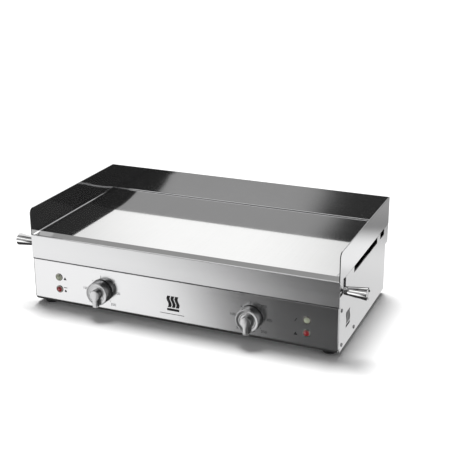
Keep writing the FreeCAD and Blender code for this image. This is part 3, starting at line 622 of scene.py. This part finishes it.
# %% [markdown]
# ## The knobs
# A knob is three parts: a cup that hides the shaft, a cap with a raised rim, and a pointer that
# the fingers turn. Cup and cap are lathe work. The pointer's outline is a round hub drawn down
# into a narrow tail, and its thickness is a pile of that outline, each copy a little smaller
# near the top, which rounds its edge.

# %% The knobs' turned parts


def inward(outline, inset):
    """Outline moved inwards: each point shifts along the normal of the line through its neighbours."""
    along = np.roll(outline, -1, axis=0) - np.roll(outline, 1, axis=0)
    normal = np.stack([-along[:, 1], along[:, 0]], axis=-1) / np.linalg.norm(along, axis=1)[:, None]
    return outline + inset * normal


def on_front(flat, height, x, z):
    """Points drawn in a plane (across, up), standing height in front of the control panel."""
    return np.stack([x + flat[:, 0], np.full(len(flat), face_y - height), z + flat[:, 1]], axis=-1)


# all in millimetres, from the panel forwards
REACH_MM = (face_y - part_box("knob_pointer_left")[0].y) / MM
DISC = REACH_MM - 9
SEAT = DISC - 3
BACK, SKIRT, EDGE = 3, 25.8, 25.2
BORE, TUBE = 3.1, 7
ROUND = 0.9
hub = np.linspace(math.radians(-52), math.radians(232), 44)
HUB, TAIL_HALF, TAIL = 11.5 * MM, 5.5 * MM, 28 * MM
dome = HUB * np.stack([np.cos(hub), np.sin(hub)], axis=-1)
tail = rounded([dome[-1], (-TAIL_HALF, -HUB - MM), (-TAIL_HALF, -TAIL), (TAIL_HALF, -TAIL),
                (TAIL_HALF, -HUB - MM), dome[0]], [2 * MM, 1.5 * MM, 1.5 * MM, 2 * MM], 5)
pointer = np.concatenate([dome, tail[1:-1]])
knob_spots = {}
for side, sign in SIDES:
    ring_low, ring_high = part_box("dial_ring_" + side)
    x, z = (ring_low.x + ring_high.x) / 2, (ring_low.z + ring_high.z) / 2
    knob_spots[side] = (x, z)
    spot, forward = (x, face_y, z), (0, -1, 0)
    rim = (ring_high.x - ring_low.x) / 2 / MM
    scale_ring = rounded([(9, 0.9), (9, 0), (rim, 0), (rim, 1.8), (9, 1.8), (9, 0.9)],
                         [0.1, 0.1, 0.7, 0.1], 4) * MM
    piece("scale_ring_" + side, "housing", "ring_black", ["dial_ring_" + side],
          lathe(scale_ring[:-1], spot, forward, 96, ring=True))
    cup = rounded([(BORE, 12), (BORE, SEAT - 2), (0, SEAT - 2), (0, SEAT), (EDGE, SEAT), (SKIRT, BACK),
                   (SKIRT - 2.2, BACK), (EDGE - 2.4, SEAT - 2), (TUBE, SEAT - 2), (TUBE, 9), (BORE, 9),
                   (BORE, 12)], [0, 0, 0, 0.4, 0.6, 0.3, 1, 1, 0, 0], 4) * MM
    piece("knob_cup_" + side, "knob_" + side, "knob_metal", ["knob_" + side],
          lathe(cup[:-1], spot, forward, 96, ring=True))
    # a raised rim, a shallow dish, and two turned grooves in it
    steps = [(0, SEAT), (EDGE, SEAT), (EDGE, DISC), (EDGE - 2.2, DISC), (EDGE - 2.8, DISC - 0.7)]
    for groove in (18.6, 15.4):
        steps += [(groove, DISC - 0.7), (groove - 0.3, DISC - 1.0), (groove - 0.6, DISC - 0.7)]
    cap = rounded(steps + [(0, DISC - 0.7)], [0.3, 0.8, 0.3, 0.2] + [0.1] * 6, 3) * MM
    piece("knob_disc_" + side, "knob_" + side, "knob_metal", ["knob_cap_" + side],
          lathe(cap, spot, forward, 96))
    levels = [(0.0, DISC - 0.8)]
    levels += [(ROUND * (1 - math.cos(a)), REACH_MM - ROUND * (1 - math.sin(a)))
               for a in np.linspace(0, math.pi / 2, 5)]
    rings = [on_front(inward(pointer, inset * MM), level * MM, x, z) for inset, level in levels]
    piece("knob_grip_" + side, "knob_" + side, "knob_metal", ["knob_pointer_" + side],
          loft(np.array(rings)))

# %% [markdown]
# ## The pilot lamps
# A lamp is a plated collar pushed into the panel and a moulded jewel pushed into the collar. The
# jewel has flat facets, which catch the light one at a time. They come from the same lathe: the
# radius is multiplied by a flute factor, and the factor has eight corners, like a cut stone.

# %% The pilot lamps


def polygon(sides):
    """Flute factor of a regular polygon: the radius to its edge, for corners at radius 1."""
    def factor(angle):
        step = 2 * math.pi / sides
        return math.cos(step / 2) / np.cos(np.mod(angle, step) - step / 2)
    return factor


def centre_of(name):
    """Middle of a CAD node's box."""
    low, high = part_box(name)
    return np.array((low + high) / 2)


COLLAR, COLLAR_LIP, LENS = 8.5, 1.6, 6.3
for side, sign in SIDES:
    for level, slot in (("upper", "lens_clear"), ("lower", "lens_red")):
        label = side + "_" + level
        x, _, z = centre_of("lamp_bezel_" + label)
        spot, forward = (x, face_y, z), (0, -1, 0)
        collar = rounded([(0, -12), (LENS + 0.1, -12), (LENS + 0.1, COLLAR_LIP), (COLLAR - 0.8, COLLAR_LIP),
                          (COLLAR, 0.9), (COLLAR, 0), (COLLAR - 1, 0), (COLLAR - 1, -26), (0, -26)],
                         [0.2, 0.3, 0.5, 0.4, 0.1, 0.1, 0.4], 3) * MM
        piece("lamp_collar_" + label, "housing", "bezel_chrome", ["lamp_bezel_" + label],
              lathe(collar, spot, forward, 72))
        jewel = np.array([(0, -10), (LENS, -10), (LENS, 1.4), (LENS - 0.3, 2.0), (LENS - 1.2, 3.5),
                          (2.6, 4.6), (0, 4.9)]) * MM
        piece("lamp_jewel_" + label, "housing", slot, ["lamp_lens_" + label],
              lathe(jewel, spot, forward, 48, ([0, 0, 0, 0.3, 1, 1, 1], polygon(8))), sharp=12)

# %% [markdown]
# ## Feet and fasteners
# The feet are moulded rubber with ribs down the side and a cup for the screw underneath. The
# button-head screws have a hexagon socket. Ribs, sockets and hexagon nuts are all flutes: the
# same lathe with another factor, and a share of it for each point of the profile.

# %% Feet, side screws and the rear fittings


HOLE = 2.1
SCREW_PLACES = ((-147, 97), (-142, 21), (-55, 22))


def ribs(angle):
    """Flute factor of 24 shallow ribs."""
    return 1 - 0.012 * (1 + np.cos(24 * angle))


for side, sign in SIDES:
    for spot_name in ("front", "rear"):
        label = "foot_%s_%s" % (spot_name, side)
        low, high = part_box(label)
        middle, tall = centre_of(label), (high.z - low.z) / MM
        wide = (high.x - low.x) / 2 / MM
        foot = rounded([(HOLE, tall - 2), (HOLE, tall), (wide, tall), (wide, tall - 2), (wide - 2.5, 0),
                        (8, 0), (8, 5), (HOLE, 5), (HOLE, tall - 2)],
                       [0.2, 0.6, 0.8, 1.0, 0.4, 0.4, 0.1], 3) * MM
        share = np.clip((foot[:, 0] / MM - 9) / 3, 0, 1)
        piece("foot_pad_%s_%s" % (spot_name, side), "housing", "foot_rubber", [label],
              lathe(foot[:-1], (middle[0], middle[1], 0), (0, 0, 1), 144, (share[:-1], ribs), ring=True))

    # the hexagon socket: its corners need a whole number of steps
    head = [(0, 0.9), (1.5, 0.9), (1.5, 1.9), (1.9, 2.0), (2.9, 1.7), (3.7, 1.1), (4, 0.5), (4, 0), (2, 0),
            (2, -9.4), (1.5, -10), (0, -10)]
    socket = [0, 1, 1] + [0] * 9
    screws = [lathe(np.array(head) * MM, (sign * half, y * MM, z * MM), (sign, 0, 0), 48,
                    (socket, polygon(6))) for y, z in SCREW_PLACES]
    piece("button_screws_" + side, "housing", "screw_steel", ["side_screws_" + side], *screws)


def threaded(radius, start, end, pitch):
    """Profile of a thread drawn as rings: the radius goes in and out once in every pitch."""
    count = int(round((end - start) / pitch))
    height = np.linspace(start, end, 2 * count + 1)
    return [(radius - 0.4 * (index % 2), level) for index, level in enumerate(height)]


back_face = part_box("cable_gland")[1].y - 18 * MM
gland_spot = (centre_of("cable_gland")[0], back_face, centre_of("cable_gland")[2])
barrel = threaded(8.0, -15, -0.6, 1.5)
flange = [(11.4, 0), (12, 0.5), (12, 5.5), (11.4, 6)]
dome = [(11, 6.2), (11, 11.6), (10.4, 12.6), (8.4, 17.4), (7.6, 18), (5.4, 18), (5, 17.6)]
gland = [(5, -15)] + barrel + [(8, 0)] + flange + dome
hexagonal = [0] * (2 + len(barrel)) + [1] * len(flange) + [0] * len(dome)
piece("gland_body", "housing", "gland_plastic", ["cable_gland"],
      lathe(np.array(gland) * MM, gland_spot, (0, 1, 0), 96, (hexagonal, polygon(6)), ring=True))

stud_spot = (centre_of("earth_stud")[0], back_face, centre_of("earth_stud")[2])
shank = threaded(3.0, -11.6, 17.4, 1.0)
stud = [(0, -12), (2.6, -12)] + shank + [(2.4, 18), (0, 18)]
nut = np.array([(2.6, 0), (5.1, 0), (5.5, 0.4), (5.5, 3.6), (5.1, 4), (2.6, 4)])
nuts = [lathe((nut + (0, start)) * MM, stud_spot, (0, 1, 0), 48, ([0, 1, 1, 1, 1, 0], polygon(6)), ring=True)
        for start in (0.05, 5, -5.8)]
piece("earth_terminal", "housing", "stud_brass", ["earth_stud"],
      lathe(np.array(stud) * MM, stud_spot, (0, 1, 0), 48), *nuts)

# %% [markdown]
# ## Printed marks
# The dial's numbers, the lamps' signs and a plain heat sign are printed. Ink has next to no
# thickness, but a true sheet needs some, so each mark is a flat shape drawn up by a twentieth of
# a millimetre. A mark is drawn in millimetres on a flat page, and `sheet` lays the page on the
# front panel or on the side. Numbers come from a font, which is turned into a mesh first.

# %% Ink
INK = 0.06


def sheet(points, x, z, on_side=False):
    """Page points (across, up, thickness) in mm, laid on the front, or on the right-hand side."""
    across, up, thick = np.array(points, float).T * MM
    if on_side:
        return np.stack([half + thick, x + across, z + up], axis=-1)
    return np.stack([x + across, face_y - thick, z + up], axis=-1)


def flat(outline):
    """Closed page outline as a thin slab: one ring at the panel and one at the ink's height."""
    outline = np.array(outline, float)
    return [np.column_stack([outline, np.full(len(outline), level)]) for level in (0.0, INK)]


def printed(outlines, x, z, on_side=False):
    """Ready shapes of page outlines, each a closed loft."""
    return [loft(np.array([sheet(ring, x, z, on_side) for ring in flat(outline)])) for outline in outlines]


def bar(middle_x, middle_y, wide, tall, turn=0.0):
    """Page outline of a rectangle, turned about its middle."""
    corners = np.array([(-wide, -tall), (wide, -tall), (wide, tall), (-wide, tall)]) / 2
    cosine, sine = math.cos(turn), math.sin(turn)
    return corners @ np.array([(cosine, sine), (-sine, cosine)]) + (middle_x, middle_y)


def letters(text, size, x, z, across, up):
    """A printed number as a closed mesh: the font's curve, drawn up by the ink's height."""
    line = bpy.data.curves.new("number", "FONT")
    line.body = text
    line.align_x, line.align_y = "CENTER", "CENTER"
    line.size, line.extrude = size, INK / 2
    line.resolution_u = 3
    holder = bpy.data.objects.new("number", line)
    drawn = holder.to_mesh()
    points = np.zeros(3 * len(drawn.vertices))
    drawn.vertices.foreach_get("co", points)
    points = points.reshape(-1, 3) + (across, up, INK / 2)
    faces = [list(face.vertices) for face in drawn.polygons]
    holder.to_mesh_clear()
    bpy.data.objects.remove(holder)
    bpy.data.curves.remove(line)
    return sheet(points, x, z), faces, points[:, :2] * MM


DIAL = {-135: "50", 180: "100", 135: "", 90: "", 45: "250", 0: "300", -45: "350"}
for side, (x, z) in knob_spots.items():
    ticks, numbers = [], []
    for degrees, text in DIAL.items():
        turn = math.radians(degrees)
        long = 8 if degrees == 90 else 3
        middle = 27.5 + long / 2
        ticks.append(bar(middle * math.cos(turn), middle * math.sin(turn), long, 1.0, turn))
        if text:
            numbers.append(letters(text, 8.5, x, z, 39.5 * math.cos(turn), 39.5 * math.sin(turn)))
    piece("dial_marks_" + side, "housing", "ring_black", None, *printed(ticks, x, z), *numbers)

circle = np.linspace(0, 2 * math.pi, 33)[:-1]
dot = 2.6 * np.stack([np.cos(circle), np.sin(circle)], axis=-1)
left_signs = [[(-4, 68), (4, 68), (0, 75)], bar(0, 50, 9, 1.6), dot + (0, 42)]
right_signs = [bar(0, 70, 9, 1.4, math.radians(60)), [(-4, 37), (4, 37), (0, 44)]]
piece("lamp_signs_left", "housing", "ring_black", None, *printed(left_signs, -0.270, 0))
piece("lamp_signs_right", "housing", "ring_black", None, *printed(right_signs, 0.262, 0))


def wave(middle_x, low, high, wide):
    """Page outline of a rising wave: middle line swings as a sine, with the same width all the way."""
    height = np.linspace(0, 1, 25)
    centre = middle_x + 2.2 * np.sin(height * 2 * math.pi)
    up = low + (high - low) * height
    right = np.stack([centre + wide / 2, up], axis=-1)
    left = np.stack([centre - wide / 2, up], axis=-1)
    return np.concatenate([right, left[::-1]])


sign = [wave(middle_x, -9, 17, 7.4) for middle_x in (-9.2, 0, 9.2)] + [bar(0, -14, 28, 5.5)]
underline = bar(-3, -24, 56, 1.2)
piece("heat_sign_front", "housing", "ring_black", None, *printed(sign + [underline], -0.008, 0.057))
piece("heat_sign_side", "housing", "ring_black", None, *printed(sign, -0.101, 0.063, on_side=True))
